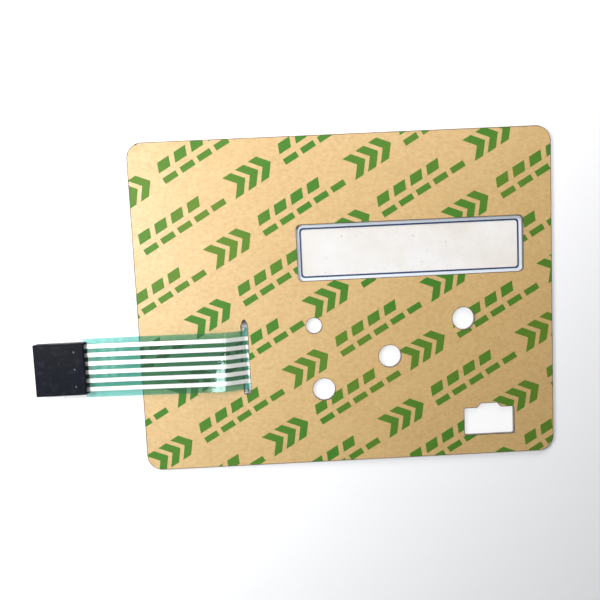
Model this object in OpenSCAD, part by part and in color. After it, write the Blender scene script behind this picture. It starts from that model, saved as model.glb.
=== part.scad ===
// Membrane switch panel, lying on its front face, with a six way tail and its connector.
// The origin is the centre of the front face. +X runs along the panel, away from the tail,
// +Y runs across it and +Z points out of its back. All sizes are in millimetres.

/* [Panel] */
// Length of the panel
panel_l = 122; // [121:1:136]
// Height of the panel
panel_w = 96; // [94:1:110]
// Radius of the panel's corners
panel_corner_r = 4.5; // [2:0.5:8]

/* [Layers] */
// Thickness of the clear front sheet
overlay_t = 0.2; // [0.15:0.05:0.3]
// Thickness of each printed ink on the front sheet
ink_t = 0.02; // [0.01:0.01:0.04]
// Thickness of the adhesive behind the front sheet
overlay_adhesive_t = 0.08; // [0.05:0.01:0.15]
// Thickness of the spacer sheet that holds the domes
spacer_t = 0.4; // [0.35:0.05:0.6]
// Thickness of the adhesive between the spacer and the circuit film
spacer_adhesive_t = 0.05; // [0.04:0.01:0.1]
// Thickness of the circuit film
circuit_t = 0.13; // [0.1:0.01:0.2]
// Thickness of the printed silver tracks
track_t = 0.03; // [0.01:0.01:0.03]
// Thickness of the adhesive at the back
rear_adhesive_t = 0.1; // [0.05:0.01:0.15]
// Thickness of the paper release liner
liner_t = 0.1; // [0.08:0.01:0.15]

/* [Display window] */
// Length of the clear window
window_l = 63.4; // [55:0.2:64]
// Height of the clear window
window_w = 13.6; // [10:0.2:18]
// Centre of the window along the panel
window_x = 19.5; // [19:0.5:22]
// Centre of the window across the panel
window_y = 14.5; // [10:0.5:30]
// Corner radius of the clear window
window_r = 0.8; // [0.4:0.1:3]
// Width of the dark line printed round the window
window_line = 0.5; // [0.3:0.1:1]
// Width of the pale rim left open round that line
window_rim = 0.85; // [0.5:0.05:1.2]

/* [Round holes] */
// Diameter of the three shaft holes
shaft_hole_d = 6.6; // [5:0.1:8]
// Diameter of the lamp hole
lamp_hole_d = 4.6; // [3:0.1:6]

/* [Jack cut-out] */
// Length of the cut-out for the jack
jack_l = 14.9; // [12:0.1:18]
// Height of the cut-out without its hump
jack_w = 8.2; // [6:0.1:12]
// Centre of the cut-out along the panel
jack_x = 41.7; // [36:0.1:44]
// Centre of the cut-out across the panel, without its hump
jack_y = -38.05; // [-40:0.05:-34]
// Corner radius of the cut-out
jack_r = 0.5; // [0.2:0.1:1]
// Height of the hump for the jack's latch
hump_h = 1.3; // [0.5:0.1:2.5]
// Length of the hump's flat top
hump_top_l = 4.6; // [3:0.1:6]
// Length of each sloping flank of the hump
flank_l = 1.5; // [0.8:0.1:3]

/* [Keys] */
// Centre of the key group along the panel
keys_x = -38; // [-39:0.5:-37.5]
// Centre of the upper row of keys
keys_y = 32; // [26:0.5:34]
// Distance between neighbouring keys of one row
key_pitch = 15; // [14.5:0.25:15.5]
// Distance between the two rows of keys
row_pitch = 18; // [14:0.5:20]
// Side of a printed key field
key_field = 11; // [10:0.5:11.5]
// Corner radius of a printed key field
key_field_r = 2.5; // [1:0.5:4]
// Diameter of a metal dome
dome_d = 8.4; // [7:0.1:8.8]
// Thickness of a dome's metal
dome_t = 0.06; // [0.04:0.01:0.08]
// Clearance between a dome and its pocket, and between its crown and the front adhesive
dome_clear = 0.04; // [0.02:0.01:0.05]
// Diameter of the pocket round a dome
pocket_d = 9.6; // [9:0.1:11]
// Width of the vent channels between pockets
vent_w = 0.8; // [0.5:0.1:1.5]

/* [Tracks] */
// Distance between neighbouring conductors on the tail and in the connector
pitch = 2.54; // [2.5:0.02:2.6]
// Width of a track on the tail
tail_track_w = 1.27; // [1:0.01:1.4]
// Width of a track inside the panel
track_w = 0.8; // [0.5:0.1:1]
// Distance between neighbouring tracks inside the panel
lane_pitch = 1.6; // [1.5:0.05:1.8]

/* [Tail] */
// Centre of the tail across the panel
tail_y = -16.1; // [-18:0.1:-14]
// Width of bare film outside the outer tracks
tail_margin = 1.7; // [1.2:0.1:2.5]
// Centre of the slot that the tail comes out of, along the panel
slot_x = -30.1; // [-31:0.05:-29]
// Width of the slot
slot_w = 1.9; // [1.8:0.1:3]
// Length of slot left open above the tail
slot_gap_top = 3.2; // [2:0.1:5]
// Length of slot left open below the tail
slot_gap_bottom = 1.5; // [1.5:0.1:5]
// Length over which the slot narrows at its upper end
slot_tip_l = 1.5; // [0.6:0.1:1.8]
// Radius of the slot's upper end
slot_tip_r = 0.35; // [0.2:0.05:0.6]
// Radius of the corners at the slot's lower end
slot_corner_r = 0.5; // [0.2:0.05:0.8]
// Distance from the slot to the rear of the connector
tail_run = 46.65; // [46:0.05:70]
// Height of the tail's arch above the table
arch_z = 3; // [2.6:0.1:6]
// Length of the tail left flat at its root, before it turns up
root_flat_l = 0.8; // [0.6:0.1:1]
// Length of the stretch where the tail climbs out of the slot
climb_l = 5.4; // [5:0.1:8]
// Length of film bent on each side of the arch's top
crest_bend = 1.2; // [0.6:0.1:2]
// Clearance between the tail and the slot's edge that it climbs over
lip_clear = 0.05; // [0.03:0.01:0.1]
// Widening of the tail at its root, on each side
root_flare = 0.8; // [0.2:0.1:0.8]

/* [Connector] */
// Length of the connector housing
housing_l = 14.6; // [13:0.1:18]
// Height of the connector housing
housing_t = 3; // [2.8:0.1:4]
// Chamfer of the housing's outer edges
housing_edge = 0.2; // [0.1:0.05:0.4]
// Length of film held in the housing
film_insert = 6.9; // [6:0.1:8]
// Clearance of the film in the housing's slot, above and below
film_clear = 0.12; // [0.06:0.01:0.2]
// Width and height of a contact's box
contact_box = 1.8; // [1.6:0.05:1.9]
// Clearance of a contact's box in its cavity, on each side
contact_clear = 0.1; // [0.05:0.01:0.15]
// Thickness of the contacts' metal
contact_t = 0.2; // [0.15:0.01:0.25]
// Side of the square hole for a pin
pin_hole = 0.9; // [0.8:0.05:1.1]
// Depth of the funnel in front of a pin hole
funnel_l = 0.4; // [0.2:0.05:0.5]

/* [Liner print] */
// Angle of the rows of printed shapes
print_angle = 30; // [0:1:45]
// Distance between neighbouring rows
print_row_pitch = 14; // [12:0.5:20]
// Distance between neighbouring groups of one row
print_group_pitch = 48; // [46:1:60]
// Shift of the print along its rows
print_shift = 37; // [0:1:48]
// Height of the large chevrons
chevron_h = 7; // [5:0.5:8]
// Thickness of the print
print_t = 0.02; // [0.01:0.01:0.03]

/* [Hidden] */
$fn = 48;
ways = 6;
keys = ways - 1;
// Small overrun of a cutting shape past the face that it cuts
cut = 0.5;

// Heights of the layers' lower faces, from the front face up
colour_z = overlay_t;
backing_z = colour_z + ink_t;
overlay_adhesive_z = backing_z + ink_t;
spacer_z = overlay_adhesive_z + overlay_adhesive_t;
spacer_adhesive_z = spacer_z + spacer_t - spacer_adhesive_t;
circuit_z = spacer_z + spacer_t;
rear_adhesive_z = circuit_z + circuit_t;
liner_z = rear_adhesive_z + rear_adhesive_t;
top_z = liner_z + liner_t;

// Centres of the round holes
shaft_holes = [[-7.4, -26], [12.5, -17], [34.6, -6.8]];
lamp_hole = [-9.6, -6.9];

// Places of the keys, from left to right, in two staggered rows
function key_at(k) = [keys_x + (k - (keys - 1) / 2) * key_pitch / 2, keys_y - (k % 2) * row_pitch];
dome_h = circuit_z - track_t - spacer_z - dome_clear;
// Radius of the sphere that a dome is a cap of
dome_r = (dome_d * dome_d / 4 + dome_h * dome_h) / (2 * dome_h);
ring_w = 1;
pad_d = 3;

// Tail: its width, its root at the slot's far edge, and its end inside the connector
tail_w = (ways - 1) * pitch + tail_track_w + 2 * tail_margin;
root_w = tail_w + 2 * root_flare;
root_x = slot_x + slot_w / 2;
slot_edge_x = slot_x - slot_w / 2;
slot_top_y = tail_y + tail_w / 2 + slot_gap_top;
slot_bottom_y = tail_y - tail_w / 2 - slot_gap_bottom;
housing_x = slot_x - tail_run;
film_end_x = housing_x - film_insert;
// Height of the film's lower face in the connector
film_z = housing_t / 2 - circuit_t / 2;
// Length of the green coat inside the panel and inside the housing
coat_in_panel = 1;
coat_in_housing = 0.6;
// Gap in the circuit film round the tongue that the tail was cut from
tongue_gap = 1;
// Start and end of the tail's flare, from the slot's near edge
flare_start = 0.4;
flare_end = 1.2;

// Points of a smooth curve with two handles, without its last point
function curve(a, b, c, d, n) = [
    for (i = [0:n - 1])
        let (t = i / n, s = 1 - t)
        s * s * s * a + 3 * s * s * t * b + 3 * s * t * t * c + t * t * t * d
];
// Points of a bend round a corner, without its last point
function bend(a, corner, b, n) =
    curve(a, a + (corner - a) * 2 / 3, b + (corner - b) * 2 / 3, b, n);
// The point at a distance d from a, on the way to b
function toward(a, b, d) = a + (b - a) * d / norm(b - a);
// Corners of the tail's line: where it turns up, passes the slot's edge and levels out
foot = [root_x - root_flat_l, circuit_z];
lip = [slot_edge_x, top_z + print_t + spacer_adhesive_t + lip_clear];
crest = [foot[0] - climb_l, arch_z];
foot_bend = 0.4;
lip_bend = 0.3;
// Handles of the long low curve from the arch's top down to the connector
crest_reach = 10;
housing_reach = 12;
// Line of the film's lower face, seen from the side, from the panel to the film's end
tail_path = concat(
    [[root_x + coat_in_panel + cut, circuit_z]],
    bend(foot + [foot_bend, 0], foot, toward(foot, lip, foot_bend), 4),
    [toward(foot, lip, foot_bend)],
    bend(toward(lip, foot, lip_bend), lip, toward(lip, crest, lip_bend), 2),
    [toward(lip, crest, lip_bend)],
    bend(toward(crest, lip, crest_bend), crest, crest - [crest_bend, 0], 8),
    curve(
        crest - [crest_bend, 0], crest - [crest_reach, 0],
        [housing_x + housing_reach, film_z], [housing_x, film_z], 12
    ),
    [[housing_x, film_z], [film_end_x, film_z]]
);

// Tracks: height on the tail's root, and the places where they turn inside the panel
lane_start = 2.2;
function track_y(j) = tail_y + ((ways - 1) / 2 - j) * pitch;
function turn_x(j) = root_x + lane_start + j * lane_pitch;
function lane_y(j) = slot_top_y + lane_start + j * lane_pitch;
common_x = turn_x(ways) + lane_start;
common_y = keys_y + dome_d / 2 + 4.5;

// Gap between the film's end and the end of the housing's slot
film_end_gap = 0.3;
// Contacts: place of the box, and of the tines that pierce the film
front_wall = 1;
housing_end_x = housing_x - housing_l;
box_x = housing_end_x + front_wall;
box_l = 5.8;
contact_rear_x = housing_x - 0.6;
ramp_l = 1.2;
tongue_w = 1.3;
tongue_top = film_z - track_t;
tines_x = [film_end_x + 2, film_end_x + 4.4];
tine_l = 0.35;
tine_w = 0.9;
clinch_l = 1.3;
axis_z = housing_t / 2;
cavity = contact_box + 2 * contact_clear;
// Leaf spring in a contact's box
leaf_w = 0.8;
// Lance under a contact's box, and its clearance in the window that it catches in
lance_x = box_x + 2.6;
lance_l = 2;
lance_w = 0.9;
lance_clear = 0.2;
// Round marks on the housing's upper face
mark_x = housing_x - 2.85;
mark_d = 1.2;
mark_depth = 0.12;
mark_pip_d = 0.5;

// A rectangle with true round corners, centred
module rounded_rect(l, w, r) {
    square([l - 2 * r, w], center = true);
    square([l, w - 2 * r], center = true);
    for (x = [-1, 1], y = [-1, 1])
        translate([x * (l / 2 - r), y * (w / 2 - r)])
            circle(r);
}

// A straight run between two points, square to the panel, with its width past both ends
module run(a, b, w) {
    low = [min(a[0], b[0]) - w / 2, min(a[1], b[1]) - w / 2];
    high = [max(a[0], b[0]) + w / 2, max(a[1], b[1]) + w / 2];
    translate(low)
        square(high - low);
}

// Holes that go through every layer
module through_cuts() {
    for (p = shaft_holes)
        translate(p)
            circle(d = shaft_hole_d);
    translate(lamp_hole)
        circle(d = lamp_hole_d);
    translate([jack_x, jack_y]) {
        rounded_rect(jack_l, jack_w, jack_r);
        hump();
    }
}

// The latch hump of the jack cut-out, with smooth flanks
module hump() {
    steps = 6;
    flank = [
        for (i = [0:steps])
            [hump_top_l / 2 + flank_l * (1 - i / steps), hump_h * (1 - cos(180 * i / steps)) / 2]
    ];
    edge = [for (p = flank) [p[0], jack_w / 2 + p[1]]];
    mirrored = [for (i = [steps:-1:0]) [-edge[i][0], edge[i][1]]];
    base = [[-hump_top_l / 2 - flank_l, 0], [hump_top_l / 2 + flank_l, 0]];
    polygon(concat(base, edge, mirrored));
}

// Holes in the layers behind the printed sheet, which also leave the window open
module inner_cuts() {
    through_cuts();
    translate([window_x, window_y])
        rounded_rect(
            window_l + 2 * (window_line + window_rim),
            window_w + 2 * (window_line + window_rim),
            window_r + window_line
        );
}

// Point where a line from p touches a circle round c, on the line's left
function touch(p, c, r) =
    let (d = p - c, angle = atan2(d[1], d[0]) + acos(r / norm(d)))
    c + r * [cos(angle), sin(angle)];

// The tail's slot: straight sides, a rounded lower end and a tapered upper end
module slot() {
    half = slot_w / 2;
    tip = [0, slot_top_y - slot_tip_r];
    shoulder = [half, slot_top_y - slot_tip_l];
    taper = touch(shoulder, tip, slot_tip_r);
    base_y = slot_bottom_y + slot_corner_r;
    translate([slot_x, 0]) {
        translate([-half, base_y])
            square([slot_w, shoulder[1] - base_y]);
        translate([slot_corner_r - half, slot_bottom_y])
            square([slot_w - 2 * slot_corner_r, slot_corner_r + cut]);
        for (side = [-1, 1])
            translate([side * (half - slot_corner_r), base_y])
                circle(slot_corner_r);
        polygon([
            shoulder, taper, [-taper[0], taper[1]], [-half, shoulder[1]],
            [-half, shoulder[1] - cut], [half, shoulder[1] - cut]
        ]);
        translate(tip)
            circle(slot_tip_r);
    }
}

// One sheet of the stack, with the panel's outline; children are cut out of it
module sheet(z, t) {
    translate([0, 0, z])
        linear_extrude(t)
            difference() {
                rounded_rect(panel_l, panel_w, panel_corner_r);
                children();
            }
}

module key_fields() {
    for (k = [0:keys - 1])
        translate(key_at(k))
            rounded_rect(key_field, key_field, key_field_r);
}

module pockets() {
    for (k = [0:keys - 1])
        translate(key_at(k))
            circle(d = pocket_d);
}

// Channels that let the air pass between neighbouring pockets
module vents() {
    for (k = [0:keys - 2]) {
        from = key_at(k);
        to = key_at(k + 1);
        run(from, [to[0], from[1]], vent_w);
        run([to[0], from[1]], to, vent_w);
    }
}

// A ribbon that follows the tail's line, between two heights above the film's lower face
module ribbon(low, high, w) {
    last = len(tail_path) - 1;
    lower = [for (p = tail_path) [p[0], p[1] + low]];
    upper = [for (i = [last:-1:0]) [tail_path[i][0], tail_path[i][1] + high]];
    rotate([90, 0, 0])
        linear_extrude(w, center = true)
            polygon(concat(lower, upper));
}

// Plan of the tail from a given end to another, wider at its root
module tail_plan(from_x, to_x) {
    half = tail_w / 2;
    root_half = root_w / 2;
    side = [
        [from_x, half], [slot_edge_x + flare_start, half], [slot_edge_x + flare_end, root_half],
        [to_x, root_half]
    ];
    polygon(concat(side, [for (i = [3:-1:0]) [side[i][0], -side[i][1]]]));
}

// A tall block over a plan at the tail's place, to cut a ribbon with
module over_tail() {
    translate([0, tail_y, -cut])
        linear_extrude(arch_z + 1 + 2 * cut)
            children();
}

// Tines of one contact, from its tongue up to the folded ends above the film
module tines(j) {
    for (x = tines_x)
        translate([x - tine_l / 2, track_y(j) - tine_w / 2, tongue_top - contact_t / 2])
            cube([tine_l, tine_w, contact_t / 2 + track_t + circuit_t + contact_t]);
}

// Printed silver of track j inside the panel, from the tail's root to its key or keys
module track_plan(j) {
    y = track_y(j);
    if (j < keys) {
        key = key_at(j);
        run([root_x + tail_track_w / 2, y], [turn_x(j), y], tail_track_w);
        run([turn_x(j), y], [turn_x(j), lane_y(j)], track_w);
        run([key[0], lane_y(j)], [turn_x(j), lane_y(j)], track_w);
        run([key[0], lane_y(j)], key, track_w);
        translate(key)
            circle(d = pad_d);
    } else {
        run([root_x + tail_track_w / 2, y], [common_x, y], tail_track_w);
        run([common_x, y], [common_x, common_y], track_w);
        run([key_at(0)[0], common_y], [common_x, common_y], track_w);
        for (k = [0:keys - 1])
            common_ring(key_at(k));
    }
}

// Ring under a dome's rim, open at the bottom for the key's own track, with its way up
module common_ring(key) {
    mid_d = dome_d - ring_w / 2;
    gap = track_w * 3;
    translate(key)
        difference() {
            circle(d = mid_d + ring_w);
            circle(d = mid_d - ring_w);
            translate([-gap / 2, -mid_d])
                square([gap, mid_d]);
        }
    run([key[0], key[1] + mid_d / 2], [key[0], common_y], track_w);
}

// Silver track j: flat in the panel, then along the underside of the tail
module track(j) {
    color("silver")
        difference() {
            union() {
                translate([0, 0, circuit_z - track_t])
                    linear_extrude(track_t)
                        track_plan(j);
                translate([0, track_y(j), 0])
                    ribbon(-track_t, 0, tail_track_w);
            }
            tines(j);
        }
}

module graphic_overlay() {
    color([0.93, 0.95, 0.97, 0.4])
        sheet(0, overlay_t)
            through_cuts();
}

module colour_print() {
    color("midnightblue")
        sheet(colour_z, ink_t) {
            through_cuts();
            key_fields();
            translate([window_x, window_y])
                rounded_rect(window_l, window_w, window_r);
        }
}

module key_print() {
    color("lightsteelblue")
        translate([0, 0, colour_z])
            linear_extrude(ink_t)
                key_fields();
}

module backing_print() {
    color("aliceblue")
        sheet(backing_z, ink_t) {
            through_cuts();
            translate([window_x, window_y])
                rounded_rect(
                    window_l + 2 * window_line,
                    window_w + 2 * window_line,
                    window_r + window_line / 2
                );
        }
}

module overlay_adhesive() {
    color([0.9, 0.9, 0.86, 0.6])
        sheet(overlay_adhesive_z, overlay_adhesive_t)
            inner_cuts();
}

module dome_spacer() {
    color("whitesmoke")
        sheet(spacer_z, spacer_t - spacer_adhesive_t) {
            inner_cuts();
            pockets();
            vents();
        }
}

module spacer_adhesive() {
    color([0.9, 0.9, 0.86, 0.6])
        difference() {
            sheet(spacer_adhesive_z, spacer_adhesive_t) {
                inner_cuts();
                pockets();
                translate([slot_edge_x, tail_y - root_w / 2])
                    square([slot_w + coat_in_panel, root_w]);
            }
            translate([0, 0, circuit_z - track_t])
                linear_extrude(track_t + cut)
                    for (j = [0:ways - 1])
                        track_plan(j);
        }
}

module circuit_film() {
    color([0.85, 0.9, 0.88, 0.5])
        difference() {
            union() {
                sheet(circuit_z, circuit_t) {
                    inner_cuts();
                    translate([-panel_l / 2 - cut, tail_y - tail_w / 2 - tongue_gap])
                        square([root_x + panel_l / 2 + cut, tail_w + 2 * tongue_gap]);
                }
                intersection() {
                    translate([0, tail_y, 0])
                        ribbon(0, circuit_t, root_w);
                    over_tail()
                        tail_plan(film_end_x, root_x);
                }
            }
            for (j = [0:ways - 1])
                tines(j);
        }
}

module dielectric_coat() {
    color([0.15, 0.6, 0.45, 0.7])
        difference() {
            intersection() {
                translate([0, tail_y, 0])
                    ribbon(-spacer_adhesive_t, 0, root_w);
                over_tail()
                    tail_plan(housing_x - coat_in_housing, root_x + coat_in_panel);
            }
            for (j = [0:ways - 1])
                translate([0, track_y(j), 0])
                    ribbon(-track_t, cut, tail_track_w);
        }
}

module rear_adhesive() {
    color([0.9, 0.88, 0.8, 0.6])
        sheet(rear_adhesive_z, rear_adhesive_t) {
            inner_cuts();
            slot();
        }
}

module release_liner() {
    color("burlywood")
        sheet(liner_z, liner_t) {
            inner_cuts();
            slot();
        }
}

// One group of the liner's print: three chevrons, then slanted bars over plain bars.
// It is drawn with chevrons one unit high.
module print_group() {
    chevron = [[0, 0], [0.4, 0], [0.8, 0.5], [0.4, 1], [0, 1], [0.4, 0.5]];
    slanted_bar = [[0, 0], [0.56, 0], [0.73, 0.4], [0.17, 0.4]];
    plain_bar = [0.63, 0.26];
    bars_x = 2.5;
    scale(chevron_h) {
        for (i = [0:2])
            translate([0.62 * i, 0])
                polygon(chevron);
        for (i = [0:3])
            translate([bars_x + 0.8 * i, 0.55])
                polygon(slanted_bar);
        for (i = [0:4])
            translate([bars_x + 0.83 * i, 0.05])
                square(plain_bar);
    }
}

module liner_print() {
    rows = ceil(0.6 * (panel_l + panel_w) / 2 / print_row_pitch);
    groups = ceil(panel_l / 2 / print_group_pitch) + 1;
    color("seagreen")
        translate([0, 0, top_z])
            linear_extrude(print_t)
                intersection() {
                    difference() {
                        rounded_rect(panel_l, panel_w, panel_corner_r);
                        inner_cuts();
                        slot();
                    }
                    rotate(print_angle)
                        for (r = [-rows:rows], g = [-groups:groups])
                            translate([(g + (r % 3) / 3) * print_group_pitch + print_shift, r * print_row_pitch])
                                print_group();
                }
}

// Dome k, a thin cap of a sphere whose rim rests on its ring
module metal_dome(k) {
    color("lightgray")
        translate([key_at(k)[0], key_at(k)[1], circuit_z - track_t])
            mirror([0, 0, 1])
                rotate_extrude($fn = 96)
                    intersection() {
                        translate([0, dome_h - dome_r])
                            difference() {
                                circle(dome_r, $fn = 240);
                                circle(dome_r - dome_t, $fn = 240);
                            }
                        square([dome_d, dome_d]);
                    }
}

// Housing: a solid block with a cavity for each contact and a slot for the film
module connector_housing() {
    slot_low = film_z - film_clear;
    slot_h = circuit_t + 2 * film_clear;
    width = ways * pitch;
    color([0.13, 0.14, 0.17])
        difference() {
            translate([housing_end_x + housing_l / 2, tail_y, axis_z])
                chamfered_block(housing_l, width, housing_t, housing_edge);
            for (j = [0:ways - 1])
                translate([0, track_y(j), axis_z])
                    contact_cavity();
            translate([film_end_x - film_end_gap, tail_y - width / 2 - cut, slot_low])
                cube([film_insert + film_end_gap + cut, width + 2 * cut, slot_h]);
            for (y = [-2, 0, 2])
                translate([mark_x, tail_y + y * pitch, housing_t - mark_depth])
                    mark();
        }
}

// A centred rectangle with its corners chamfered
module chamfered_rect(l, w, edge) {
    x = l / 2;
    y = w / 2;
    polygon([
        [x, y - edge], [x - edge, y], [edge - x, y], [-x, y - edge],
        [-x, edge - y], [edge - x, -y], [x - edge, -y], [x, edge - y]
    ]);
}

// A centred block with all of its edges chamfered
module chamfered_block(l, w, h, edge) {
    intersection() {
        linear_extrude(h, center = true)
            chamfered_rect(l, w, edge);
        rotate([90, 0, 0])
            linear_extrude(w, center = true)
                chamfered_rect(l, h, edge);
        rotate([90, 0, 90])
            linear_extrude(l, center = true)
                chamfered_rect(w, h, edge);
    }
}

// A square funnel at 45 degrees, from past the housing's front down to the pin hole
module funnel() {
    start = housing_end_x - cut;
    end = housing_end_x + funnel_l;
    mouth = pin_hole / 2 + end - start;
    outline = [[start, mouth], [end, pin_hole / 2], [end, -pin_hole / 2], [start, -mouth]];
    intersection() {
        side_profile(2 * mouth, outline);
        linear_extrude(2 * mouth, center = true)
            polygon(outline);
    }
}

// Space for one contact, with its pin hole in front and the window for its lance below
module contact_cavity() {
    translate([box_x, -cavity / 2, -cavity / 2])
        cube([housing_l, cavity, cavity]);
    funnel();
    translate([housing_end_x, -pin_hole / 2, -pin_hole / 2])
        cube([front_wall + cut, pin_hole, pin_hole]);
    translate([lance_x - lance_clear, -lance_w / 2 - lance_clear, -axis_z - cut])
        cube([lance_l + 2 * lance_clear, lance_w + 2 * lance_clear, axis_z]);
}

// A shallow round mark with a small pip left standing in it
module mark() {
    difference() {
        cylinder(d = mark_d, h = mark_depth + cut);
        translate([0, 0, -cut])
            cylinder(d = mark_pip_d, h = mark_depth + 3 * cut);
    }
}

// Contact j: a box for the pin with a leaf spring and a lance, and a tongue crimped to the film
module contact(j) {
    wall = contact_t;
    half = contact_box / 2;
    color("gold")
        translate([0, track_y(j), 0]) {
            difference() {
                translate([box_x, -half, axis_z - half])
                    cube([box_l, contact_box, contact_box]);
                translate([box_x - cut, wall - half, axis_z + wall - half])
                    cube([box_l + 2 * cut, contact_box - 2 * wall, contact_box - 2 * wall]);
            }
            side_profile(leaf_w, [
                [box_x + 0.6, axis_z + 0.55], [box_x + 2.9, axis_z + 0.22],
                [box_x + box_l, axis_z + half - wall - 0.1], [box_x + box_l, axis_z + half],
                [box_x + box_l - 0.3, axis_z + half], [box_x + 2.9, axis_z + 0.36],
                [box_x + 0.6, axis_z + 0.67]
            ]);
            side_profile(lance_w, [
                [lance_x, axis_z - half + 0.1], [lance_x + lance_l, axis_z - half - 0.3],
                [lance_x + lance_l, axis_z - half - 0.1], [lance_x + lance_l / 2, axis_z - half + 0.1]
            ]);
            side_profile(tongue_w, [
                [box_x + box_l - 0.4, axis_z - half], [box_x + box_l, axis_z - half],
                [box_x + box_l + ramp_l, tongue_top - wall], [contact_rear_x, tongue_top - wall],
                [contact_rear_x, tongue_top], [box_x + box_l + ramp_l - 0.1, tongue_top],
                [box_x + box_l - 0.1, axis_z + wall - half], [box_x + box_l - 0.4, axis_z + wall - half]
            ]);
            for (x = tines_x)
                translate([x - clinch_l / 2, -tine_w / 2, film_z + circuit_t])
                    cube([clinch_l, tine_w, wall]);
        }
    color("gold")
        tines(j);
}

// An outline seen from the side, given a width
module side_profile(w, points) {
    rotate([90, 0, 0])
        linear_extrude(w, center = true)
            polygon(points);
}

graphic_overlay();
colour_print();
key_print();
backing_print();
overlay_adhesive();
dome_spacer();
spacer_adhesive();
circuit_film();
dielectric_coat();
rear_adhesive();
release_liner();
liner_print();
connector_housing();
metal_dome(0);  // metal_dome_1
metal_dome(1);  // metal_dome_2
metal_dome(2);  // metal_dome_3
metal_dome(3);  // metal_dome_4
metal_dome(4);  // metal_dome_5
track(0);  // track_1
track(1);  // track_2
track(2);  // track_3
track(3);  // track_4
track(4);  // track_5
track(5);  // track_6
contact(0);  // contact_1
contact(1);  // contact_2
contact(2);  // contact_3
contact(3);  // contact_4
contact(4);  // contact_5
contact(5);  // contact_6
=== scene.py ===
"""Looks of the membrane switch panel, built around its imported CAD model."""

import math

import bmesh
import bpy
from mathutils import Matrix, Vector


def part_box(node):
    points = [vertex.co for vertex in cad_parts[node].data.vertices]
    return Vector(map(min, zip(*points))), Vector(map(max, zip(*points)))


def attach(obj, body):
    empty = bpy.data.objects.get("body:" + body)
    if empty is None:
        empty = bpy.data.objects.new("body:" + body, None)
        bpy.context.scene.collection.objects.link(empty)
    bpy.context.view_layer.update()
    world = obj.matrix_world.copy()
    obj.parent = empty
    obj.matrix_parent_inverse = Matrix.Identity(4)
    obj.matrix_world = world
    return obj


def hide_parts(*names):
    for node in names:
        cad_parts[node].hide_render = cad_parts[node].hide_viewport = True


bl_info = {
    "name": "Membrane Switch Panel",
    "version": (1, 0, 0),
    "blender": (4, 5, 0),
    "location": "3D View > Sidebar > Switch Panel",
    "description": "Dresses a membrane switch panel, its flexible tail and its connector",
    "category": "Object",
}

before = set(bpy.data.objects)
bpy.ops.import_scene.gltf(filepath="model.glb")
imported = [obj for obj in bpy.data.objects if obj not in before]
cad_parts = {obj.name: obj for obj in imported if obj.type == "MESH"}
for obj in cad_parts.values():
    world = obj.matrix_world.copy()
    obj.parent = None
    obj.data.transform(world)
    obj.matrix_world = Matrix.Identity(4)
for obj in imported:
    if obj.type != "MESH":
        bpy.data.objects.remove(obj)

MM = 0.001
BODY = "root"
WAYS = 6
KEYS = WAYS - 1
# Vertices of a CAD mesh that are closer than this are one vertex
MERGE_DISTANCE = 0.001 * MM
# Gap left beside a clear sheet, so that it doesn't share a surface with what it lies on
CLEAR_GAP = 0.003 * MM
# Thickness of the browned rim that lies on the paper
RIM_SKIN = 0.004 * MM
# Faces on top of the housing with no edge longer than this are the pips in its round marks
PIP_SIZE = 0.6 * MM
# From the green coat's box: the slot's centre line lies this far inside its end, and the slot's
# upper and lower ends this far past its sides
SLOT_END_INSET = 1.95 * MM
SLOT_GAP_TOP = 2.4 * MM
SLOT_GAP_BOTTOM = 0.7 * MM
# Brown at a slot's end, laser smoke with painted shade of the narrow end, is at its thickest up
# to the first distance and gone at the second
SMOKE_SHADE_FULL = 0.5 * MM
SMOKE_SHADE_GONE = 1.9 * MM
# Shares of the light: mirrored by a film straight on, and stopped by its cut faces, dark as laser
# browning with painted shade on the walls, and by the smoke with painted shade at the slot's ends
FILM_MIRRORS = 0.045
CUT_STOPS = 0.9
SMOKE_SHADE_STOPS = 0.85
# Painted shade: the coat lets through less light between the tracks, standing in for the
# tracks' shadows on what lies under the tail, and more past the outer ones. It turns from one to
# the other between these shares of half the housing's width.
TRACK_SHADE_FULL = 0.84
TRACK_SHADE_GONE = 0.94
# Corners up to these angles, in degrees, are shaded smooth
TAIL_SMOOTHING = 25
DOME_SMOOTHING = 40

# Half of the table's side, in metres, and how far its top lies under the panel's face
TABLE_HALF = 2.5
TABLE_DROP = 5 * CLEAR_GAP
# Share of plain white that the eye sees on the table: under the panel, round it and far off.
# Under the panel it is painted light, which washes out the shade in the panel's openings.
LIFT_UNDER = 0.66
LIFT_ROUND = 0.2
LIFT_FAR = 0.77
# The far share sets in past the first distance from the panel's middle, fully at the second
FAR_STARTS = 150 * MM
FAR_FULL = 320 * MM
# The share under the panel ends between these distances inside its outline
UNDER_FULL = 5 * MM
UNDER_ENDS = 2 * MM
# Where the pale walls end and the ceiling starts, as a height on a sphere of radius 1
WALLS_END = 0.35
CEILING_STARTS = 0.85
# The softboxes: place and target in metres, size in metres and power in watts
SOFTBOXES = {
    "left_softbox": ((-0.16, 0.035, 0.17), (-0.045, -0.01, 0), (0.11, 0.09), 0.57),
    "near_softbox": ((-0.15, -0.16, 0.15), (-0.04, -0.02, 0), (0.1, 0.1), 0.09),
    "far_softbox": ((0.033, 0.186, 0.12), (0, 0.02, 0), (0.12, 0.12), 0.39),
}
# The narrow lights mirrored in the film hang face down at one height: place and size in
# metres, turn in degrees and brightness, where 1 is white
STRIP_HEIGHT = 0.338
STRIPS = {
    "window_edge": ((-0.022, -0.081), (0.118, 0.012), 29, 5.0),
    "window_corner": ((-0.096, -0.102), (0.054, 0.026), 45, 9.0),
    "window_sill": ((-0.07, -0.099), (0.044, 0.026), 29, 9.0),
    "far_window": ((-0.2215, -0.072), (0.006, 0.04), 0, 2.2),
}


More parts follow.
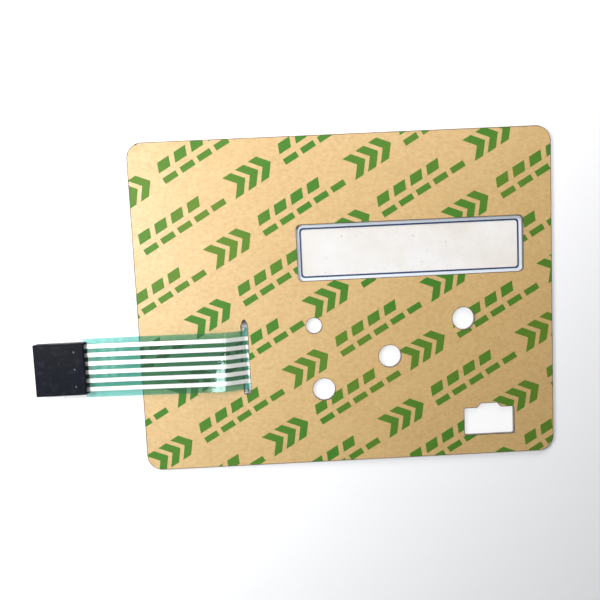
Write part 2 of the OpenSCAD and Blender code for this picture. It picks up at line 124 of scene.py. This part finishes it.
def linear(code):
    """The linear colour of an sRGB hex code."""
    channels = [int(code[i : i + 2], 16) / 255 for i in (1, 3, 5)]
    return tuple(
        c / 12.92 if c <= 0.04045 else ((c + 0.055) / 1.055) ** 2.4 for c in channels
    )


def colour_property(name, description, code):
    return bpy.props.FloatVectorProperty(
        name=name,
        description=description,
        subtype="COLOR",
        min=0,
        max=1,
        default=linear(code),
    )


def length_property(name, description, size_mm, lowest=0.0):
    return bpy.props.FloatProperty(
        name=name,
        description=description,
        unit="LENGTH",
        min=lowest,
        precision=5,
        default=size_mm * MM,
    )


def level_property(name, description, level):
    return bpy.props.FloatProperty(
        name=name, description=description, default=level, min=0
    )


class SwitchPanelLaminate(bpy.types.PropertyGroup):
    kraft: colour_property("Kraft", "Colour of the release paper", "#C6A367")
    fibre: colour_property("Fibre", "Colour of the darker paper fibres", "#A98144")
    print_green: colour_property("Print", "Green ink of the liner's print", "#37701F")
    navy: colour_property("Navy", "Dark ink round the display window", "#2B3A5E")
    rim_white: colour_property("Rim", "Backing ink seen round the window", "#D6DDE7")
    key_blue: colour_property("Keys", "Light ink of the key fields", "#B7C7DC")
    smudge: colour_property("Smudges", "Warm tint where the window is smudged", "#FBF8F4")
    # The scorch colour also darkens the cut walls: laser browning with painted shade
    scorch: colour_property("Scorch", "Cut edge browned by the laser", "#4A3029")
    scorch_w: length_property("Scorch width", "Width of the browned edge", 0.22)


class SwitchPanelTail(bpy.types.PropertyGroup):
    coat_tint: colour_property(
        "Coat past tracks", "Light let through by the green coat past the tracks", "#D2F3EF"
    )
    coat_track_shade: colour_property(
        "Coat with track shade", "Light let through between the tracks, with their shade painted in", "#ADE5DA"
    )
    coat_green: colour_property("Coat", "Pigment of the green coat", "#1F7F62")
    silver: colour_property("Silver", "Printed silver ink", "#E8E8E4")


class SwitchPanelConnector(bpy.types.PropertyGroup):
    black: colour_property("Housing", "Moulded plastic of the housing", "#0C0F17")
    metal: colour_property("Contacts", "Tin plate on the contacts", "#C9C7C0")


class SwitchPanelStage(bpy.types.PropertyGroup):
    lens: bpy.props.FloatProperty(
        name="Lens", description="Focal length", unit="CAMERA", default=30.0
    )
    camera_x: length_property("Camera X", "Camera place along the panel", -15.1, -1)
    camera_y: length_property("Camera Y", "Camera place across the panel", 11.74, -1)
    camera_height: length_property(
        "Camera height", "Height of the camera above the table", 147.12
    )
    camera_turn: bpy.props.FloatVectorProperty(
        name="Camera turn",
        description="Turns of the camera about X, Y and Z",
        subtype="EULER",
        default=[math.radians(a) for a in (-4.2127, -0.8776, -2.6642)],
    )
    table: colour_property("Table", "Colour of the table", "#F3F2F5")
    sky: colour_property("Sky", "Light of the windows mirrored in the film", "#E0FDFF")
    world_level: level_property("World", "Light of the room from all sides", 0.14)
    ceiling_level: level_property(
        "Ceiling", "Brightness of the ceiling where the eye or a mirror meets it", 0.12
    )
    softboxes: level_property("Softboxes", "Share of the softboxes' full power", 1.0)
    glint: level_property("Glint", "Strength of the narrow lights in the film", 1.0)


def add(tree, kind, inputs=(), **settings):
    """One shader node with its settings and its inputs.

    The inputs go by name, or in the order in which the node shows them. Each is a value, a
    colour as a hex code, a socket, or a node whose first output it is.
    """
    node = tree.nodes.new(kind)
    for name, value in settings.items():
        setattr(node, name, value)
    if isinstance(inputs, dict):
        pairs = [(node.inputs[name], value) for name, value in inputs.items()]
    else:
        pairs = zip([socket for socket in node.inputs if socket.enabled], inputs)
    for socket, value in pairs:
        if isinstance(value, bpy.types.Node):
            value = next(output for output in value.outputs if output.enabled)
        if isinstance(value, bpy.types.NodeSocket):
            tree.links.new(value, socket)
        elif socket.type == "RGBA":
            colour = linear(value) if isinstance(value, str) else value
            socket.default_value = (*colour, 1.0)
        else:
            socket.default_value = value
    return node


def new_material(name):
    """An empty node material, its tree and the object coordinates, in metres."""
    mat = bpy.data.materials.new(name)
    mat.use_nodes = True
    tree = mat.node_tree
    tree.nodes.clear()
    return mat, tree, add(tree, "ShaderNodeTexCoord").outputs["Object"]


def finished(mat, shader):
    """A material with this shader on its surface."""
    add(mat.node_tree, "ShaderNodeOutputMaterial", (shader,))
    return mat


def noise(tree, place, size_mm, detail=3.0, stretch=(1, 1, 1)):
    """Noise whose features are size_mm wide, stretched along an axis by a share under 1."""
    mapped = add(tree, "ShaderNodeMapping", {"Vector": place, "Scale": stretch})
    return add(tree, "ShaderNodeTexNoise", (mapped, 1 / (size_mm * MM), detail))


def stained(tree, base, pattern, limits, share, colour):
    """A colour mixed with up to a share of another where a pattern rises through its limits."""
    amount = add(tree, "ShaderNodeMapRange", (pattern, *limits, 0.0, share))
    return add(tree, "ShaderNodeMix", (amount, base, colour), data_type="RGBA")


def grained(tree, pattern, limits, rough, depth_mm, strength):
    """Roughness and relief that follow a pattern, as inputs of a surface's shader."""
    relief = {"Height": pattern, "Distance": depth_mm * MM, "Strength": strength}
    return {
        "Roughness": add(tree, "ShaderNodeMapRange", (pattern, *limits, *rough)),
        "Normal": add(tree, "ShaderNodeBump", relief),
    }


def amid(tree, coordinate, low, high, full, gone):
    """1 at the middle of a span, turning to 0 between two distances from the middle."""
    middle = (low + high) / 2
    off = add(tree, "ShaderNodeMath", (coordinate, middle), operation="SUBTRACT")
    off = add(tree, "ShaderNodeMath", (off,), operation="ABSOLUTE")
    return add(tree, "ShaderNodeMapRange", (off, full, gone, 1.0, 0.0))


def schlick(tree, straight_on):
    """Share mirrored by a film's face, alike from outside and from within."""
    facing = add(tree, "ShaderNodeLayerWeight", {"Blend": 0.5}).outputs["Facing"]
    steep = add(tree, "ShaderNodeMath", (facing, 5.0), operation="POWER")
    return add(tree, "ShaderNodeMapRange", (steep, 0.0, 1.0, straight_on, 1.0))


# Supercalendered kraft release paper: warm tan with a dull sheen, and faint fibres along the
# web, drawn coarser than real ones so that they show
def kraft_release_paper(look):
    mat, tree, place = new_material("kraft_release_paper")
    clouds = noise(tree, place, 16)
    base = stained(tree, look.kraft, clouds, (0.3, 0.7), 0.14, look.fibre)
    fibres = noise(tree, place, 0.7, 5.0, (0.6, 1, 1))
    base = stained(tree, base, fibres, (0.4, 0.66), 0.42, look.fibre)
    flecks = noise(tree, place, 1.3, 3.0, (1, 0.7, 1))
    base = stained(tree, base, flecks, (0.5, 0.68), 0.14, "#DDC08E")
    specks = noise(tree, place, 0.5, 2.0)
    base = stained(tree, base, specks, (0.735, 0.79), 0.55, "#8A6134")
    # Painted shade with laser browning: the cut walls take the scorch colour
    cut = add(tree, "ShaderNodeAttribute", attribute_name="cut_face").outputs["Fac"]
    inputs = {
        "Base Color": add(
            tree, "ShaderNodeMix", (cut, base, look.scorch), data_type="RGBA"
        ),
        **grained(tree, fibres, (0.3, 0.8), (0.5, 0.66), 0.012, 0.5),
        "Specular IOR Level": 0.85,
        "Coat Weight": 1.0,
        "Coat Roughness": 0.6,
    }
    return finished(mat, add(tree, "ShaderNodeBsdfPrincipled", inputs))


# Water-based flexographic ink on kraft: flat green, slightly mottled where the paper drinks it
def flexographic_ink(look):
    mat, tree, place = new_material("flexographic_green_ink")
    mottle = noise(tree, place, 0.6, 4.0)
    base = stained(tree, look.print_green, mottle, (0.35, 0.75), 0.45, "#4F812B")
    drift = noise(tree, place, 45, 1.0)
    base = stained(tree, base, drift, (0.42, 0.68), 0.55, "#65791F")
    worn = noise(tree, place, 0.35, 3.0)
    inputs = {
        "Base Color": stained(tree, base, worn, (0.68, 0.76), 0.6, look.kraft),
        "Roughness": 0.6,
        "Specular IOR Level": 0.25,
    }
    return finished(mat, add(tree, "ShaderNodeBsdfPrincipled", inputs))


# Paper and film edge burnt brown by the laser that cut the outline, fading into the paper
def scorched_edge(look):
    mat, tree, place = new_material("laser_scorched_paper_edge")
    near = add(tree, "ShaderNodeAttribute", attribute_name="scorch").outputs["Fac"]
    uneven = noise(tree, place, 0.9, 4.0)
    ragged = add(tree, "ShaderNodeMapRange", (uneven, 0.2, 0.8, -0.18, 0.18))
    reach = add(tree, "ShaderNodeMath", (near, ragged), operation="ADD")
    share = add(tree, "ShaderNodeMapRange", (reach, 0.15, 0.75, 0.0, 1.0))
    browns = (uneven, look.scorch, "#6E4B38")
    inputs = {
        "Base Color": add(tree, "ShaderNodeMix", browns, data_type="RGBA"),
        "Roughness": 0.7,
    }
    burnt = add(tree, "ShaderNodeBsdfPrincipled", inputs)
    clear = add(tree, "ShaderNodeBsdfTransparent")
    return finished(mat, add(tree, "ShaderNodeMixShader", (share, clear, burnt)))


# Screen-printed ink on the rear of polyester: an even satin film with fine mesh texture
def screen_ink(name, colour, second):
    mat, tree, place = new_material(name)
    mesh_marks = noise(tree, place, 0.25, 2.0)
    inputs = {
        "Base Color": stained(tree, colour, mesh_marks, (0.35, 0.7), 0.3, second),
        **grained(tree, mesh_marks, (0.3, 0.7), (0.42, 0.55), 0.004, 0.4),
    }
    return finished(mat, add(tree, "ShaderNodeBsdfPrincipled", inputs))


# Biaxially drawn polyester film: clear, with a sharp gloss, a faint haze and a little dust,
# and brown laser smoke with painted shade round the places that a laser cut above it
def clear_film(
    name, haze, rough, cut_colour, wave_mm=0.0, wave_size=9.0, dust=0.0, tint=None, smoke_and_shade_spots=()
):
    mat, tree, place = new_material(name)
    cut = add(tree, "ShaderNodeAttribute", attribute_name="cut_face").outputs["Fac"]
    smear = noise(tree, place, 3.5, 4.0)
    hazy = add(tree, "ShaderNodeMapRange", (smear, 0.35, 0.75, haze * 0.4, haze * 1.6))
    motes = noise(tree, place, 0.6, 2.0)
    specks = add(tree, "ShaderNodeMapRange", (motes, 0.71, 0.75, 0.0, dust))
    # How much of the light meets the film and doesn't pass through it
    seen = add(tree, "ShaderNodeMath", (schlick(tree, FILM_MIRRORS), hazy), operation="ADD")
    seen = add(tree, "ShaderNodeMath", (seen, specks), operation="ADD")
    # Painted shade with laser browning: cut faces are nearly opaque and dark
    seen = add(tree, "ShaderNodeMix", (cut, seen, CUT_STOPS), data_type="FLOAT")
    base = add(tree, "ShaderNodeMix", (specks, "#F7F9F9", "#5B5046"), data_type="RGBA")
    base = add(tree, "ShaderNodeMix", (cut, base, cut_colour), data_type="RGBA")
    # Painted shade with laser smoke: brown and less clear round each slot end
    for spot in smoke_and_shade_spots:
        away = add(tree, "ShaderNodeVectorMath", (place, spot), operation="DISTANCE")
        fading = (away, SMOKE_SHADE_FULL, SMOKE_SHADE_GONE, SMOKE_SHADE_STOPS, 0.0)
        smoke_and_shade = add(tree, "ShaderNodeMapRange", fading)
        base = add(tree, "ShaderNodeMix", (smoke_and_shade, base, "#77645A"), data_type="RGBA")
        seen = add(tree, "ShaderNodeMath", (smoke_and_shade, seen), operation="MAXIMUM")
    # What an uncut face doesn't let through it mostly mirrors, as a metal does
    inputs = {
        "Base Color": base,
        "Roughness": rough,
        "Metallic": add(tree, "ShaderNodeMapRange", (cut, 0.0, 1.0, 0.75, 0.0)),
    }
    if wave_mm:
        waves = {"Height": noise(tree, place, wave_size, 1.0), "Distance": wave_mm * MM}
        inputs["Normal"] = add(tree, "ShaderNodeBump", {**waves, "Strength": 1.0})
    solid = add(tree, "ShaderNodeBsdfPrincipled", inputs)
    through = "#FFFFFF"
    if tint:
        smudges = noise(tree, place, 30, 2.0)
        through = stained(tree, through, smudges, (0.3, 0.65), 1.0, tint)
    clear = add(tree, "ShaderNodeBsdfTransparent", (through,))
    return finished(mat, add(tree, "ShaderNodeMixShader", (seen, clear, solid)))


# Acrylic transfer adhesive: clear, soft and hazy, and its cut faces brown: laser browning with
# painted shade on the walls
def transfer_adhesive(look):
    return clear_film(
        "acrylic_transfer_adhesive", haze=0.3, rough=0.5, cut_colour=look.scorch
    )


def slot_ends():
    """The two ends of the tail's slot, on the film that is seen through it."""
    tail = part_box("dielectric_coat")
    x = tail[1].x - SLOT_END_INSET
    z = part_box("rear_adhesive")[0].z
    return [(x, tail[1].y + SLOT_GAP_TOP, z), (x, tail[0].y - SLOT_GAP_BOTTOM, z)]


# Matte grey polyester spacer, its cut walls darker: laser smoke with painted shade on the walls
def spacer_polyester(look):
    mat, tree, place = new_material("grey_polyester_spacer")
    cut = add(tree, "ShaderNodeAttribute", attribute_name="cut_face").outputs["Fac"]
    clouds = noise(tree, place, 2.0)
    face = stained(tree, "#A9B0AA", clouds, (0.3, 0.7), 0.2, "#98A19C")
    inputs = {
        "Base Color": add(
            tree, "ShaderNodeMix", (cut, face, "#7A6E66"), data_type="RGBA"
        ),
        "Roughness": 0.5,
    }
    return finished(mat, add(tree, "ShaderNodeBsdfPrincipled", inputs))


# UV-cured green dielectric: a see-through ink, mint over white and dark green over kraft, with
# painted shade between the tracks for the shadows that they cast under the tail
def dielectric_coat(look):
    mat, tree, place = new_material("uv_cured_green_dielectric_track_shade")
    low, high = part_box("connector_housing")
    across = add(tree, "ShaderNodeSeparateXYZ", (place,)).outputs["Y"]
    half = (high.y - low.y) / 2
    # Painted shade: 1 between the tracks, where their shadows are painted into the tint
    track_shade = amid(tree, across, low.y, high.y, TRACK_SHADE_FULL * half, TRACK_SHADE_GONE * half)
    tints = (track_shade, look.coat_tint, look.coat_track_shade)
    tint = add(tree, "ShaderNodeMix", tints, data_type="RGBA")
    clear = add(tree, "ShaderNodeBsdfTransparent", (tint,))
    inputs = {"Base Color": look.coat_green, "Roughness": 0.25}
    pigment = add(tree, "ShaderNodeBsdfPrincipled", inputs)
    uneven = noise(tree, place, 5.0, 2.0)
    share = add(tree, "ShaderNodeMapRange", (uneven, 0.3, 0.7, 0.02, 0.06))
    return finished(mat, add(tree, "ShaderNodeMixShader", (share, clear, pigment)))


# Silver polymer ink, screen printed: nearly white, with a soft metallic sheen and a fine
# grain, coarser than the real flakes so that it shows close up
def silver_ink(look):
    mat, tree, place = new_material("printed_silver_ink")
    grain = noise(tree, place, 0.12, 2.0)
    inputs = {
        "Base Color": stained(tree, look.silver, grain, (0.35, 0.7), 0.35, "#DADAD5"),
        "Metallic": 0.3,
        **grained(tree, grain, (0.3, 0.7), (0.3, 0.4), 0.002, 0.3),
    }
    return finished(mat, add(tree, "ShaderNodeBsdfPrincipled", inputs))


# Glass-filled nylon from a spark-eroded mould: near black, satin, with a fine pebble, and a
# painted highlight on the pips in its round marks
def moulded_nylon(look):
    mat, tree, place = new_material("black_moulded_nylon")
    dust = noise(tree, place, 1.8, 5.0)
    base = stained(tree, look.black, dust, (0.5, 0.85), 0.08, "#6A6E78")
    pip = add(tree, "ShaderNodeAttribute", attribute_name="pip").outputs["Fac"]
    pebble = noise(tree, place, 0.16, 3.0)
    inputs = {
        # Painted highlight: the pips are made paler
        "Base Color": stained(tree, base, pip, (0.0, 1.0), 0.4, "#8D9199"),
        **grained(tree, pebble, (0.3, 0.7), (0.4, 0.56), 0.01, 0.6),
        "Specular IOR Level": 0.07,
    }
    return finished(mat, add(tree, "ShaderNodeBsdfPrincipled", inputs))


# Stamped metal: bright, with rolling lines along the strip that it was punched from
def stamped_metal(name, colour, line_mm, rough):
    mat, tree, place = new_material(name)
    lines = noise(tree, place, line_mm, 4.0, (0.08, 1, 1))
    shade = [0.72 * c for c in colour]
    inputs = {
        "Base Color": stained(tree, colour, lines, (0.3, 0.7), 0.35, shade),
        "Metallic": 1.0,
        **grained(tree, lines, (0.3, 0.7), (rough - 0.06, rough + 0.08), 0.003, 0.4),
    }
    return finished(mat, add(tree, "ShaderNodeBsdfPrincipled", inputs))


def merged_copy(node):
    """A bmesh of a CAD node with its loose triangles joined."""
    bm = bmesh.new()
    bm.from_mesh(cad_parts[node].data)
    bmesh.ops.remove_doubles(bm, verts=bm.verts, dist=MERGE_DISTANCE)
    bm.normal_update()
    return bm


def place_piece(bm, name, material, nodes=(), smooth_deg=None):
    """Turns a bmesh into a piece that rides on the panel and stands for any CAD nodes given."""
    mesh = bpy.data.meshes.new(name)
    bm.to_mesh(mesh)
    bm.free()
    if smooth_deg:
        mesh.shade_smooth()
        mesh.set_sharp_from_angle(angle=math.radians(smooth_deg))
    obj = bpy.data.objects.new(name, mesh)
    bpy.context.scene.collection.objects.link(obj)
    mesh.materials.append(material)
    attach(obj, BODY)
    if nodes:
        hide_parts(*nodes)


def is_cut(face):
    """Whether a face was made by a cut, and so stands square to its sheet."""
    return abs(face.normal.z) < 0.5


def sheet_piece(node, name, material, slot, drop=0.0, smooth_deg=None):
    """A laminate sheet with its cut faces marked, and moved by a hair if it is clear."""
    bm = merged_copy(node)
    layer = bm.faces.layers.float.new("cut_face")
    for face in bm.faces:
        face[layer] = float(is_cut(face))
    bmesh.ops.translate(bm, verts=bm.verts, vec=(0, 0, -drop))
    place_piece(bm, name, material, (node,), smooth_deg)


def paint(node, material):
    """Gives a CAD node that stays as it is a finished material."""
    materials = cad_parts[node].data.materials
    materials.clear()
    materials.append(material)


class SWITCHPANEL_OT_liner(bpy.types.Operator):
    """Dress the kraft release liner, its print and the adhesive sheets"""

    bl_idname = "switchpanel.liner"
    bl_label = "Release Liner"

    def execute(self, context):
        look = context.scene.switch_panel_laminate
        paper = kraft_release_paper(look)
        sheet_piece("release_liner", "liner_paper", paper, "kraft_paper")
        paint("liner_print", flexographic_ink(look))
        adhesive = transfer_adhesive(look)
        for node in ("rear_adhesive", "overlay_adhesive", "spacer_adhesive"):
            sheet_piece(node, f"{node}_sheet", adhesive, "clear_adhesive")
        return {"FINISHED"}


class SWITCHPANEL_OT_scorch(bpy.types.Operator):
    """Brown the paper along every cut edge of the liner"""

    bl_idname = "switchpanel.scorch"
    bl_label = "Cut Edges"

    def execute(self, context):
        look = context.scene.switch_panel_laminate
        bm = merged_copy("release_liner")
        layer = bm.verts.layers.float.new("scorch")
        top = [face for face in bm.faces if face.normal.z > 0.5]
        inset = bmesh.ops.inset_region(
            bm, faces=top, thickness=look.scorch_w, use_boundary=True, use_even_offset=True
        )
        rim = set(inset["faces"])
        if not rim:
            raise RuntimeError("the liner's cut edges gave no rim")
        for vert in bm.verts:
            vert[layer] = float(any(is_cut(face) for face in vert.link_faces))
        rest = [face for face in bm.faces if face not in rim]
        bmesh.ops.delete(bm, geom=rest, context="FACES")
        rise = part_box("liner_print")[1].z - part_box("release_liner")[1].z + CLEAR_GAP
        bmesh.ops.translate(bm, verts=bm.verts, vec=(0, 0, rise))
        raised = bmesh.ops.extrude_face_region(bm, geom=bm.faces[:])["geom"]
        upper = [part for part in raised if isinstance(part, bmesh.types.BMVert)]
        bmesh.ops.translate(bm, verts=upper, vec=(0, 0, RIM_SKIN))
        bmesh.ops.recalc_face_normals(bm, faces=bm.faces)
        place_piece(bm, "scorched_cut_edge", scorched_edge(look))
        return {"FINISHED"}


class SWITCHPANEL_OT_front(bpy.types.Operator):
    """Dress the clear front sheet, its inks and the spacer"""

    bl_idname = "switchpanel.front"
    bl_label = "Front Sheets"

    def execute(self, context):
        look = context.scene.switch_panel_laminate
        overlay = clear_film(
            "clear_polyester_overlay",
            haze=0.02,
            rough=0.16,
            cut_colour="#3A3D48",
            wave_mm=0.01,
            dust=0.4,
            tint=look.smudge,
        )
        sheet_piece(
            "graphic_overlay", "overlay_sheet", overlay, "clear_polyester", CLEAR_GAP
        )
        inks = {
            "colour_print": ("navy_screen_ink", look.navy, "#35466C"),
            "backing_print": ("white_screen_ink", look.rim_white, "#DCE2EA"),
            "key_print": ("light_blue_screen_ink", look.key_blue, "#C6D3E4"),
        }
        for node, ink in inks.items():
            paint(node, screen_ink(*ink))
        spacer = spacer_polyester(look)
        sheet_piece("dome_spacer", "spacer_sheet", spacer, "spacer_film")
        return {"FINISHED"}


class SWITCHPANEL_OT_tail(bpy.types.Operator):
    """Dress the circuit film with its tail, the green coat and the silver tracks"""

    bl_idname = "switchpanel.tail"
    bl_label = "Circuit and Tail"

    def execute(self, context):
        look = context.scene.switch_panel_tail
        film = clear_film(
            "clear_polyester_circuit_film",
            haze=0.01,
            rough=0.06,
            cut_colour="#76857F",
            wave_mm=0.012,
            wave_size=24,
            smoke_and_shade_spots=slot_ends(),
        )
        coat = dielectric_coat(look)
        sheets = (
            ("circuit_film", "circuit_and_tail_film", film, "clear_polyester", -CLEAR_GAP),
            ("dielectric_coat", "tail_green_coat", coat, "green_coat", CLEAR_GAP),
        )
        for sheet in sheets:
            sheet_piece(*sheet, TAIL_SMOOTHING)
        silver = silver_ink(look)
        for way in range(1, WAYS + 1):
            node = f"track_{way}"
            name = f"silver_track_{way}"
            place_piece(
                merged_copy(node), name, silver, (node,), TAIL_SMOOTHING
            )
        return {"FINISHED"}


class SWITCHPANEL_OT_connector(bpy.types.Operator):
    """Dress the connector housing and its six contacts"""

    bl_idname = "switchpanel.connector"
    bl_label = "Connector"

    def execute(self, context):
        look = context.scene.switch_panel_connector
        bm = merged_copy("connector_housing")
        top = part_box("connector_housing")[1].z
        # Faces of the pips, which get a painted highlight
        layer = bm.faces.layers.float.new("pip")
        for face in bm.faces:
            on_top = top - face.calc_center_median().z < MERGE_DISTANCE
            small = max(edge.calc_length() for edge in face.edges) < PIP_SIZE
            face[layer] = float(on_top and small)
        nylon = moulded_nylon(look)
        place_piece(bm, "housing_shell", nylon, ("connector_housing",))
        tin = stamped_metal("tin_plated_bronze", look.metal, 0.2, 0.3)
        for way in range(1, WAYS + 1):
            paint(f"contact_{way}", tin)
        return {"FINISHED"}


class SWITCHPANEL_OT_domes(bpy.types.Operator):
    """Dress the five snap domes"""

    bl_idname = "switchpanel.domes"
    bl_label = "Snap Domes"

    def execute(self, context):
        steel = stamped_metal("stainless_spring_steel", linear("#B9B8B4"), 0.3, 0.26)
        for key in range(1, KEYS + 1):
            node = f"metal_dome_{key}"
            name = f"snap_dome_{key}"
            place_piece(
                merged_copy(node), name, steel, (node,), DOME_SMOOTHING
            )
        return {"FINISHED"}


def aim(place, target):
    """Turns of a light at a place that looks at a target."""
    return (Vector(target) - Vector(place)).to_track_quat("-Z", "Y").to_euler()


def area_light(name, place, turns, size, power, colour=(1, 1, 1)):
    light = bpy.data.lights.new(name, "AREA")
    light.shape = "RECTANGLE"
    light.size, light.size_y = size
    light.energy = power
    light.color = colour
    obj = bpy.data.objects.new(name, light)
    bpy.context.scene.collection.objects.link(obj)
    obj.location = place
    obj.rotation_euler = turns


def seen_ray(tree):
    """1 for rays from the eye, also by way of a mirror or glass, and 0 for the light's own."""
    path = add(tree, "ShaderNodeLightPath").outputs
    straight = (path["Is Camera Ray"], path["Is Glossy Ray"])
    seen = add(tree, "ShaderNodeMath", straight, operation="MAXIMUM")
    both = (seen, path["Is Transmission Ray"])
    return add(tree, "ShaderNodeMath", both, operation="MAXIMUM")


def painted_light_under_panel(tree, place):
    """1 on the table under the panel, where only its openings show it, and 0 around the panel:
    painted light that washes out the shade in the openings.
    """
    low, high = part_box("release_liner")
    axes = add(tree, "ShaderNodeSeparateXYZ", (place,)).outputs
    shares = []
    for axis in range(2):
        half = (high[axis] - low[axis]) / 2
        edges = (low[axis], high[axis], half - UNDER_FULL, half - UNDER_ENDS)
        shares.append(amid(tree, axes[axis], *edges))
    return add(tree, "ShaderNodeMath", shares, operation="MULTIPLY")


# Matte laminate table: near white, lifted for the eye alone so that its shadows stay soft
def table_material(look):
    mat, tree, place = new_material("matte_white_table")
    away = add(tree, "ShaderNodeVectorMath", (place,), operation="LENGTH")
    ranges = (away, FAR_STARTS, FAR_FULL, LIFT_ROUND, LIFT_FAR)
    lift = add(tree, "ShaderNodeMapRange", ranges)
    # Painted light: the table seen through the panel's openings is lifted further
    lifts = (painted_light_under_panel(tree, place), lift, LIFT_UNDER)
    lift = add(tree, "ShaderNodeMix", lifts, data_type="FLOAT")
    share = add(tree, "ShaderNodeMath", (seen_ray(tree), lift), operation="MULTIPLY")
    clouds = noise(tree, place, 60, 2.0)
    inputs = {
        "Base Color": stained(tree, look.table, clouds, (0.3, 0.7), 0.3, "#EFEFF1"),
        "Roughness": 0.8,
        "Specular IOR Level": 0.2,
    }
    matte = add(tree, "ShaderNodeBsdfPrincipled", inputs)
    white = add(tree, "ShaderNodeEmission", {"Strength": 1.0})
    return finished(mat, add(tree, "ShaderNodeMixShader", (share, matte, white)))


def set_camera(look):
    """The camera at the photograph's viewing angle."""
    camera = bpy.data.cameras.new("photo_camera")
    camera.lens = look.lens
    camera.sensor_width = 36
    camera.clip_start = 5 * MM
    viewer = bpy.data.objects.new("photo_camera", camera)
    bpy.context.scene.collection.objects.link(viewer)
    viewer.location = (look.camera_x, look.camera_y, look.camera_height)
    viewer.rotation_euler = look.camera_turn
    bpy.context.scene.camera = viewer


def lay_table(look):
    """A plain pale table just under the panel."""
    bm = bmesh.new()
    bmesh.ops.create_grid(bm, x_segments=1, y_segments=1, size=TABLE_HALF)
    mesh = bpy.data.meshes.new("table")
    bm.to_mesh(mesh)
    bm.free()
    mesh.materials.append(table_material(look))
    floor = bpy.data.objects.new("table", mesh)
    floor.location.z = -TABLE_DROP
    bpy.context.scene.collection.objects.link(floor)


def light_room(look):
    """A dim room for the lamps' work, with pale walls and a dark ceiling for the eye."""
    world = bpy.data.worlds.new("room")
    bpy.context.scene.world = world
    world.use_nodes = True
    tree = world.node_tree
    tree.nodes.clear()
    heading = add(tree, "ShaderNodeTexCoord").outputs["Generated"]
    height = add(tree, "ShaderNodeSeparateXYZ", (heading,)).outputs["Z"]
    rising = (height, WALLS_END, CEILING_STARTS, 1.0, look.ceiling_level)
    walls = add(tree, "ShaderNodeMapRange", rising)
    levels = (seen_ray(tree), look.world_level, walls)
    level = add(tree, "ShaderNodeMix", levels, data_type="FLOAT")
    room = add(tree, "ShaderNodeBackground", {"Strength": level})
    add(tree, "ShaderNodeOutputWorld", (room,))


class SWITCHPANEL_OT_stage(bpy.types.Operator):
    """Set up the camera, the table, the room and the lamps"""

    bl_idname = "switchpanel.stage"
    bl_label = "Stage"

    def execute(self, context):
        look = context.scene.switch_panel_stage
        set_camera(look)
        lay_table(look)
        light_room(look)
        for name, (place, target, size, power) in SOFTBOXES.items():
            area_light(name, place, aim(place, target), size, power * look.softboxes)
        for name, (place, size, turn, brightness) in STRIPS.items():
            # A face as bright as white paper gives off pi watts a square metre
            power = look.glint * brightness * math.pi * size[0] * size[1]
            turns = (0, 0, math.radians(turn))
            area_light(name, (*place, STRIP_HEIGHT), turns, size, power, look.sky)
        return {"FINISHED"}


class SWITCHPANEL_PT_sidebar(bpy.types.Panel):
    """The panel's pieces, one button each"""

    bl_idname = "SWITCHPANEL_PT_sidebar"
    bl_label = "Switch Panel"
    bl_space_type = "VIEW_3D"
    bl_region_type = "UI"
    bl_category = "Switch Panel"

    def draw(self, context):
        for group in GROUPS:
            settings = getattr(context.scene, group)
            for name in settings.__annotations__:
                self.layout.prop(settings, name)
        for operator in OPERATORS:
            self.layout.operator(operator.bl_idname)


GROUPS = {
    "switch_panel_laminate": SwitchPanelLaminate,
    "switch_panel_tail": SwitchPanelTail,
    "switch_panel_connector": SwitchPanelConnector,
    "switch_panel_stage": SwitchPanelStage,
}
OPERATORS = (
    SWITCHPANEL_OT_stage,
    SWITCHPANEL_OT_liner,
    SWITCHPANEL_OT_scorch,
    SWITCHPANEL_OT_front,
    SWITCHPANEL_OT_tail,
    SWITCHPANEL_OT_connector,
    SWITCHPANEL_OT_domes,
)


def register():
    for cls in (*GROUPS.values(), *OPERATORS, SWITCHPANEL_PT_sidebar):
        bpy.utils.register_class(cls)
    for name, cls in GROUPS.items():
        setattr(bpy.types.Scene, name, bpy.props.PointerProperty(type=cls))


def unregister():
    for name in GROUPS:
        delattr(bpy.types.Scene, name)
    for cls in (SWITCHPANEL_PT_sidebar, *OPERATORS, *GROUPS.values()):
        bpy.utils.unregister_class(cls)


def main():
    register()
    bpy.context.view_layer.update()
    bpy.context.scene.view_settings.view_transform = "Standard"
    for operator in OPERATORS:
        family, name = operator.bl_idname.split(".")
        getattr(getattr(bpy.ops, family), name)()


if __name__ == "__main__":
    main()
